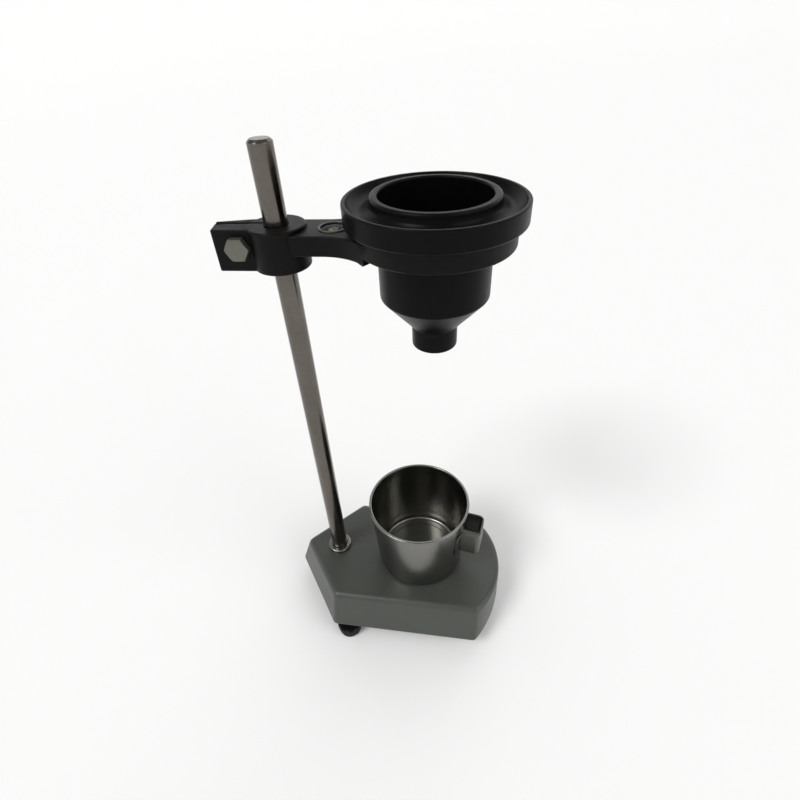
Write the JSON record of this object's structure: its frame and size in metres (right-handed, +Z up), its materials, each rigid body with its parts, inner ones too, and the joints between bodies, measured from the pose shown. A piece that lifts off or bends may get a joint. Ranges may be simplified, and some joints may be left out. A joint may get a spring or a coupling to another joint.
{
  "type": "viscosity flow cup",
  "caption": "Orifice flow cup with an overflow gutter in a clamped swing arm on a rod stand, with a levelling base and a handled receiving cup below.",
  "frame": {"origin": "bottom centre of the part's bounding box, on the ground", "axes": "+Z up along the rod, +X from the rod's end of the base to its bulged end"},
  "size_m": [0.1544, 0.1052, 0.3205],
  "materials": {
    "painted_casting": "satin grey-green paint on a cast-iron base",
    "polished_steel": "polished stainless steel",
    "sheet_steel": "drawn and polished stainless sheet",
    "zinc_steel": "bright zinc-plated steel",
    "black_plastic": "black moulded plastic with a soft sheen",
    "black_rubber": "black rubber",
    "level_pot": "black-finished metal pot of the level",
    "level_liquid": "pale yellow-green liquid",
    "level_glass": "clear round glass"
  },
  "bodies": {
    "stand": {"base_casting": "painted_casting", "rod_collar": "polished_steel", "fixed_foot": "black_rubber", "fixed_foot_screw": "zinc_steel"},
    "rod": {"stand_rod": "polished_steel", "rod_washer": "zinc_steel", "rod_nut": "zinc_steel"},
    "arm": {"support_arm": "black_plastic", "clamp_nut": "zinc_steel", "level_housing": "level_pot", "level_fluid": "level_liquid", "level_window": "level_glass"},
    "clamp_bolt": {"clamp_bolt": "zinc_steel"},
    "flow_cup": {"flow_cup_body": "black_plastic", "flow_nozzle": "polished_steel"},
    "receiving_cup": {"receiving_cup_shell": "sheet_steel", "receiving_cup_handle": "sheet_steel"},
    "front_foot": {"foot_pad_front": "black_rubber"},
    "front_foot_screw": {"foot_knob_front": "black_plastic", "foot_stud_front": "zinc_steel"},
    "rear_foot": {"foot_pad_rear": "black_rubber"},
    "rear_foot_screw": {"foot_knob_rear": "black_plastic", "foot_stud_rear": "zinc_steel"}
  },
  "joints": [
    {"name": "arm_swing", "type": "hinge", "parent": "stand", "child": "rod", "pos_m": [-0.04441, 0, 0.038], "axis": [0, 0, 1], "continuous": true},
    {"name": "arm_height", "type": "slide", "parent": "rod", "child": "arm", "axis": [0, 0, 1], "range_m": [-0.125, 0.03]},
    {"name": "clamp_turn", "type": "hinge", "parent": "arm", "child": "clamp_bolt", "pos_m": [-0.06114, -0.00161, 0.2775], "axis": [-0.0958, 0.9954, 0], "continuous": true},
    {"name": "cup_lift", "type": "slide", "parent": "arm", "child": "flow_cup", "axis": [0, 0, 1], "range_m": [0, 0.08]},
    {"name": "receiving_cup_slide", "type": "slide", "parent": "stand", "child": "receiving_cup", "axis": [1, 0, 0], "range_m": [0, 0.115]},
    {"name": "front_foot_height", "type": "slide", "parent": "stand", "child": "front_foot", "axis": [0, 0, 1], "range_m": [-0.003, 0.001]},
    {"name": "front_foot_turn", "type": "hinge", "parent": "front_foot", "child": "front_foot_screw", "pos_m": [-0.02741, -0.0439, 0], "axis": [0, 0, 1], "continuous": true},
    {"name": "rear_foot_height", "type": "slide", "parent": "stand", "child": "rear_foot", "axis": [0, 0, 1], "range_m": [-0.003, 0.001]},
    {"name": "rear_foot_turn", "type": "hinge", "parent": "rear_foot", "child": "rear_foot_screw", "pos_m": [-0.02741, 0.0439, 0], "axis": [0, 0, 1], "continuous": true}
  ],
  "couplings": [
    {"joint": "front_foot_turn", "follows": "front_foot_height", "rad_per_m": 7854},
    {"joint": "rear_foot_turn", "follows": "rear_foot_height", "rad_per_m": 7854}
  ]
}
